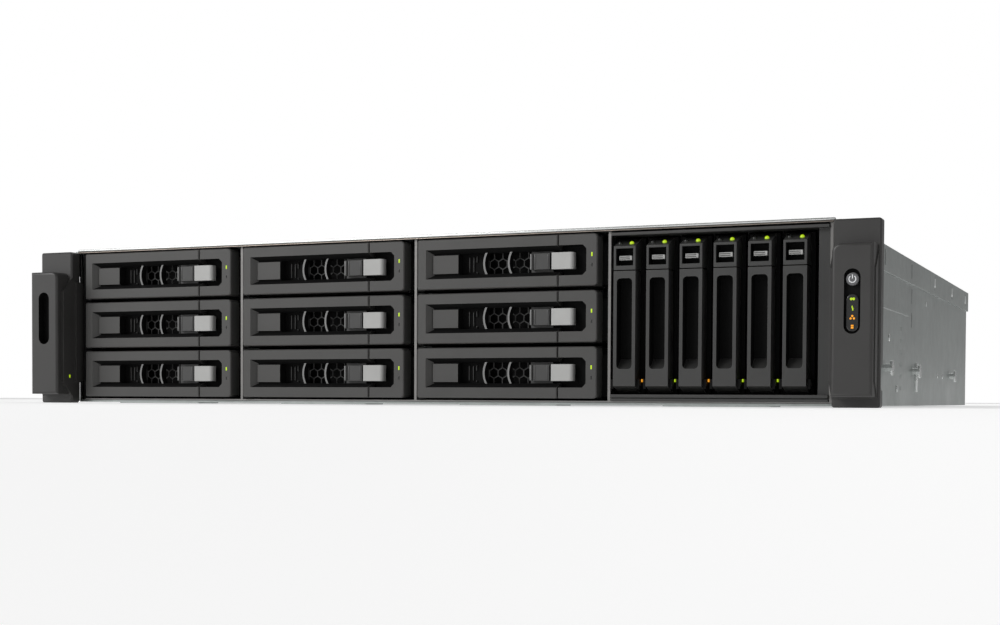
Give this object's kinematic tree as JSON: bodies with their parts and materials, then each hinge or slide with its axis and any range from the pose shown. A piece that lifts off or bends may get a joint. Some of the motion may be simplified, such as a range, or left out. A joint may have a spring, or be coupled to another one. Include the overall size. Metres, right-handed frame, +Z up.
{
  "type": "rack network attached storage",
  "caption": "Two-unit rack storage server with large horizontal drive trays, small upright drive trays, handled rack ears, sliding power supplies and a sliding rear cover.",
  "frame": {"origin": "middle of the overall box, on the surface that the case rests on", "axes": "+X to the right seen from the front, +Y from the drive fronts to the rear, +Z up"},
  "size_m": [0.4826, 0.556, 0.088],
  "materials": {
    "zinc_steel": "galvanised sheet with a fine spangle",
    "bright_steel": "bright zinc plate",
    "charcoal_plastic": "fine moulded grain, semi-matt",
    "black_plastic": "matt black",
    "grey_plastic": "satin light grey",
    "button_plastic": "satin grey with a light ring symbol",
    "smoked_window": "smoked gloss",
    "circuit_board": "green solder mask",
    "heatsink_aluminium": "extruded",
    "psu_case": "plated sheet"
  },
  "bodies": {
    "chassis": {"chassis_pan": "zinc_steel", "front_cover": "zinc_steel", "drive_cage": "zinc_steel", "ssd_frame": "charcoal_plastic", "left_ear": "charcoal_plastic", "right_ear": "charcoal_plastic", "status_window": "smoked_window", "rail_studs": "bright_steel", "case_screws": "bright_steel", "drive_backplane": "circuit_board", "mainboard": "circuit_board", "heatsink": "heatsink_aluminium", "memory_modules": "circuit_board", "fan_frames": "black_plastic"},
    "rear_cover": {"rear_cover": "zinc_steel"},
    "power_button": {"power_button": "button_plastic"},
    "fan_rotor_1": {"fan_rotor_1": "black_plastic"},
    "fan_rotor_2": {"fan_rotor_2": "black_plastic"},
    "fan_rotor_3": {"fan_rotor_3": "black_plastic"},
    "psu_1": {"psu_1": "psu_case"},
    "psu_2": {"psu_2": "psu_case"},
    "hdd_tray_3": {"hdd_tray_3": "charcoal_plastic"},
    "hdd_lever_3": {"hdd_lever_3": "charcoal_plastic"},
    "hdd_button_3": {"hdd_button_3": "grey_plastic"},
    "hdd_tray_2": {"hdd_tray_2": "charcoal_plastic"},
    "hdd_lever_2": {"hdd_lever_2": "charcoal_plastic"},
    "hdd_button_2": {"hdd_button_2": "grey_plastic"},
    "hdd_tray_1": {"hdd_tray_1": "charcoal_plastic"},
    "hdd_lever_1": {"hdd_lever_1": "charcoal_plastic"},
    "hdd_button_1": {"hdd_button_1": "grey_plastic"},
    "hdd_tray_6": {"hdd_tray_6": "charcoal_plastic"},
    "hdd_lever_6": {"hdd_lever_6": "charcoal_plastic"},
    "hdd_button_6": {"hdd_button_6": "grey_plastic"},
    "hdd_tray_5": {"hdd_tray_5": "charcoal_plastic"},
    "hdd_lever_5": {"hdd_lever_5": "charcoal_plastic"},
    "hdd_button_5": {"hdd_button_5": "grey_plastic"},
    "hdd_tray_4": {"hdd_tray_4": "charcoal_plastic"},
    "hdd_lever_4": {"hdd_lever_4": "charcoal_plastic"},
    "hdd_button_4": {"hdd_button_4": "grey_plastic"},
    "hdd_tray_9": {"hdd_tray_9": "charcoal_plastic"},
    "hdd_lever_9": {"hdd_lever_9": "charcoal_plastic"},
    "hdd_button_9": {"hdd_button_9": "grey_plastic"},
    "hdd_tray_8": {"hdd_tray_8": "charcoal_plastic"},
    "hdd_lever_8": {"hdd_lever_8": "charcoal_plastic"},
    "hdd_button_8": {"hdd_button_8": "grey_plastic"},
    "hdd_tray_7": {"hdd_tray_7": "charcoal_plastic"},
    "hdd_lever_7": {"hdd_lever_7": "charcoal_plastic"},
    "hdd_button_7": {"hdd_button_7": "grey_plastic"},
    "ssd_tray_1": {"ssd_tray_1": "charcoal_plastic"},
    "ssd_lever_1": {"ssd_lever_1": "charcoal_plastic"},
    "ssd_tray_2": {"ssd_tray_2": "charcoal_plastic"},
    "ssd_lever_2": {"ssd_lever_2": "charcoal_plastic"},
    "ssd_tray_3": {"ssd_tray_3": "charcoal_plastic"},
    "ssd_lever_3": {"ssd_lever_3": "charcoal_plastic"},
    "ssd_tray_4": {"ssd_tray_4": "charcoal_plastic"},
    "ssd_lever_4": {"ssd_lever_4": "charcoal_plastic"},
    "ssd_tray_5": {"ssd_tray_5": "charcoal_plastic"},
    "ssd_lever_5": {"ssd_lever_5": "charcoal_plastic"},
    "ssd_tray_6": {"ssd_tray_6": "charcoal_plastic"},
    "ssd_lever_6": {"ssd_lever_6": "charcoal_plastic"}
  },
  "joints": [
    {"name": "rear_cover_slide", "type": "slide", "parent": "chassis", "child": "rear_cover", "axis": [0, 1, 0], "range_m": [0, 0.012]},
    {"name": "power_button_press", "type": "slide", "parent": "chassis", "child": "power_button", "axis": [0, 1, 0], "range_m": [0, 0.0012], "stiffness_N_per_m": 900, "springref_m": -0.0006},
    {"name": "fan_rotor_1_spin", "type": "hinge", "parent": "chassis", "child": "fan_rotor_1", "pos_m": [-0.13, -0.043, 0.042], "axis": [0, 1, 0], "continuous": true},
    {"name": "fan_rotor_2_spin", "type": "hinge", "parent": "chassis", "child": "fan_rotor_2", "pos_m": [0, -0.043, 0.042], "axis": [0, 1, 0], "continuous": true},
    {"name": "fan_rotor_3_spin", "type": "hinge", "parent": "chassis", "child": "fan_rotor_3", "pos_m": [0.13, -0.043, 0.042], "axis": [0, 1, 0], "continuous": true},
    {"name": "psu_1_slide", "type": "slide", "parent": "chassis", "child": "psu_1", "axis": [0, 1, 0], "range_m": [0, 0.18]},
    {"name": "psu_2_slide", "type": "slide", "parent": "chassis", "child": "psu_2", "axis": [0, 1, 0], "range_m": [0, 0.18]},
    {"name": "hdd_tray_3_slide", "type": "slide", "parent": "chassis", "child": "hdd_tray_3", "axis": [0, -1, 0], "range_m": [0, 0.15]},
    {"name": "hdd_lever_3_hinge", "type": "hinge", "parent": "hdd_tray_3", "child": "hdd_lever_3", "pos_m": [-0.2119, -0.2594, 0.01676], "axis": [0, 0, -1], "range_deg": [0, 60]},
    {"name": "hdd_button_3_press", "type": "slide", "parent": "hdd_tray_3", "child": "hdd_button_3", "axis": [0, 1, 0], "range_m": [0, 0.002], "stiffness_N_per_m": 500, "springref_m": -0.001},
    {"name": "hdd_tray_2_slide", "type": "slide", "parent": "chassis", "child": "hdd_tray_2", "axis": [0, -1, 0], "range_m": [0, 0.15]},
    {"name": "hdd_lever_2_hinge", "type": "hinge", "parent": "hdd_tray_2", "child": "hdd_lever_2", "pos_m": [-0.2119, -0.2594, 0.04489], "axis": [0, 0, -1], "range_deg": [0, 60]},
    {"name": "hdd_button_2_press", "type": "slide", "parent": "hdd_tray_2", "child": "hdd_button_2", "axis": [0, 1, 0], "range_m": [0, 0.002], "stiffness_N_per_m": 500, "springref_m": -0.001},
    {"name": "hdd_tray_1_slide", "type": "slide", "parent": "chassis", "child": "hdd_tray_1", "axis": [0, -1, 0], "range_m": [0, 0.15]},
    {"name": "hdd_lever_1_hinge", "type": "hinge", "parent": "hdd_tray_1", "child": "hdd_lever_1", "pos_m": [-0.2119, -0.2594, 0.07303], "axis": [0, 0, -1], "range_deg": [0, 60]},
    {"name": "hdd_button_1_press", "type": "slide", "parent": "hdd_tray_1", "child": "hdd_button_1", "axis": [0, 1, 0], "range_m": [0, 0.002], "stiffness_N_per_m": 500, "springref_m": -0.001},
    {"name": "hdd_tray_6_slide", "type": "slide", "parent": "chassis", "child": "hdd_tray_6", "axis": [0, -1, 0], "range_m": [0, 0.15]},
    {"name": "hdd_lever_6_hinge", "type": "hinge", "parent": "hdd_tray_6", "child": "hdd_lever_6", "pos_m": [-0.1042, -0.2594, 0.01676], "axis": [0, 0, -1], "range_deg": [0, 60]},
    {"name": "hdd_button_6_press", "type": "slide", "parent": "hdd_tray_6", "child": "hdd_button_6", "axis": [0, 1, 0], "range_m": [0, 0.002], "stiffness_N_per_m": 500, "springref_m": -0.001},
    {"name": "hdd_tray_5_slide", "type": "slide", "parent": "chassis", "child": "hdd_tray_5", "axis": [0, -1, 0], "range_m": [0, 0.15]},
    {"name": "hdd_lever_5_hinge", "type": "hinge", "parent": "hdd_tray_5", "child": "hdd_lever_5", "pos_m": [-0.1042, -0.2594, 0.04489], "axis": [0, 0, -1], "range_deg": [0, 60]},
    {"name": "hdd_button_5_press", "type": "slide", "parent": "hdd_tray_5", "child": "hdd_button_5", "axis": [0, 1, 0], "range_m": [0, 0.002], "stiffness_N_per_m": 500, "springref_m": -0.001},
    {"name": "hdd_tray_4_slide", "type": "slide", "parent": "chassis", "child": "hdd_tray_4", "axis": [0, -1, 0], "range_m": [0, 0.15]},
    {"name": "hdd_lever_4_hinge", "type": "hinge", "parent": "hdd_tray_4", "child": "hdd_lever_4", "pos_m": [-0.1042, -0.2594, 0.07303], "axis": [0, 0, -1], "range_deg": [0, 60]},
    {"name": "hdd_button_4_press", "type": "slide", "parent": "hdd_tray_4", "child": "hdd_button_4", "axis": [0, 1, 0], "range_m": [0, 0.002], "stiffness_N_per_m": 500, "springref_m": -0.001},
    {"name": "hdd_tray_9_slide", "type": "slide", "parent": "chassis", "child": "hdd_tray_9", "axis": [0, -1, 0], "range_m": [0, 0.15]},
    {"name": "hdd_lever_9_hinge", "type": "hinge", "parent": "hdd_tray_9", "child": "hdd_lever_9", "pos_m": [0.0035, -0.2594, 0.01676], "axis": [0, 0, -1], "range_deg": [0, 60]},
    {"name": "hdd_button_9_press", "type": "slide", "parent": "hdd_tray_9", "child": "hdd_button_9", "axis": [0, 1, 0], "range_m": [0, 0.002], "stiffness_N_per_m": 500, "springref_m": -0.001},
    {"name": "hdd_tray_8_slide", "type": "slide", "parent": "chassis", "child": "hdd_tray_8", "axis": [0, -1, 0], "range_m": [0, 0.15]},
    {"name": "hdd_lever_8_hinge", "type": "hinge", "parent": "hdd_tray_8", "child": "hdd_lever_8", "pos_m": [0.0035, -0.2594, 0.04489], "axis": [0, 0, -1], "range_deg": [0, 60]},
    {"name": "hdd_button_8_press", "type": "slide", "parent": "hdd_tray_8", "child": "hdd_button_8", "axis": [0, 1, 0], "range_m": [0, 0.002], "stiffness_N_per_m": 500, "springref_m": -0.001},
    {"name": "hdd_tray_7_slide", "type": "slide", "parent": "chassis", "child": "hdd_tray_7", "axis": [0, -1, 0], "range_m": [0, 0.15]},
    {"name": "hdd_lever_7_hinge", "type": "hinge", "parent": "hdd_tray_7", "child": "hdd_lever_7", "pos_m": [0.0035, -0.2594, 0.07303], "axis": [0, 0, -1], "range_deg": [0, 60]},
    {"name": "hdd_button_7_press", "type": "slide", "parent": "hdd_tray_7", "child": "hdd_button_7", "axis": [0, 1, 0], "range_m": [0, 0.002], "stiffness_N_per_m": 500, "springref_m": -0.001},
    {"name": "ssd_tray_1_slide", "type": "slide", "parent": "chassis", "child": "ssd_tray_1", "axis": [0, -1, 0], "range_m": [0, 0.1]},
    {"name": "ssd_lever_1_hinge", "type": "hinge", "parent": "ssd_tray_1", "child": "ssd_lever_1", "pos_m": [0.11605, -0.2585, 0.011], "axis": [1, 0, 0], "range_deg": [0, 70]},
    {"name": "ssd_tray_2_slide", "type": "slide", "parent": "chassis", "child": "ssd_tray_2", "axis": [0, -1, 0], "range_m": [0, 0.1]},
    {"name": "ssd_lever_2_hinge", "type": "hinge", "parent": "ssd_tray_2", "child": "ssd_lever_2", "pos_m": [0.13295, -0.2585, 0.011], "axis": [1, 0, 0], "range_deg": [0, 70]},
    {"name": "ssd_tray_3_slide", "type": "slide", "parent": "chassis", "child": "ssd_tray_3", "axis": [0, -1, 0], "range_m": [0, 0.1]},
    {"name": "ssd_lever_3_hinge", "type": "hinge", "parent": "ssd_tray_3", "child": "ssd_lever_3", "pos_m": [0.14985, -0.2585, 0.011], "axis": [1, 0, 0], "range_deg": [0, 70]},
    {"name": "ssd_tray_4_slide", "type": "slide", "parent": "chassis", "child": "ssd_tray_4", "axis": [0, -1, 0], "range_m": [0, 0.1]},
    {"name": "ssd_lever_4_hinge", "type": "hinge", "parent": "ssd_tray_4", "child": "ssd_lever_4", "pos_m": [0.16675, -0.2585, 0.011], "axis": [1, 0, 0], "range_deg": [0, 70]},
    {"name": "ssd_tray_5_slide", "type": "slide", "parent": "chassis", "child": "ssd_tray_5", "axis": [0, -1, 0], "range_m": [0, 0.1]},
    {"name": "ssd_lever_5_hinge", "type": "hinge", "parent": "ssd_tray_5", "child": "ssd_lever_5", "pos_m": [0.18365, -0.2585, 0.011], "axis": [1, 0, 0], "range_deg": [0, 70]},
    {"name": "ssd_tray_6_slide", "type": "slide", "parent": "chassis", "child": "ssd_tray_6", "axis": [0, -1, 0], "range_m": [0, 0.1]},
    {"name": "ssd_lever_6_hinge", "type": "hinge", "parent": "ssd_tray_6", "child": "ssd_lever_6", "pos_m": [0.20055, -0.2585, 0.011], "axis": [1, 0, 0], "range_deg": [0, 70]}
  ]
}
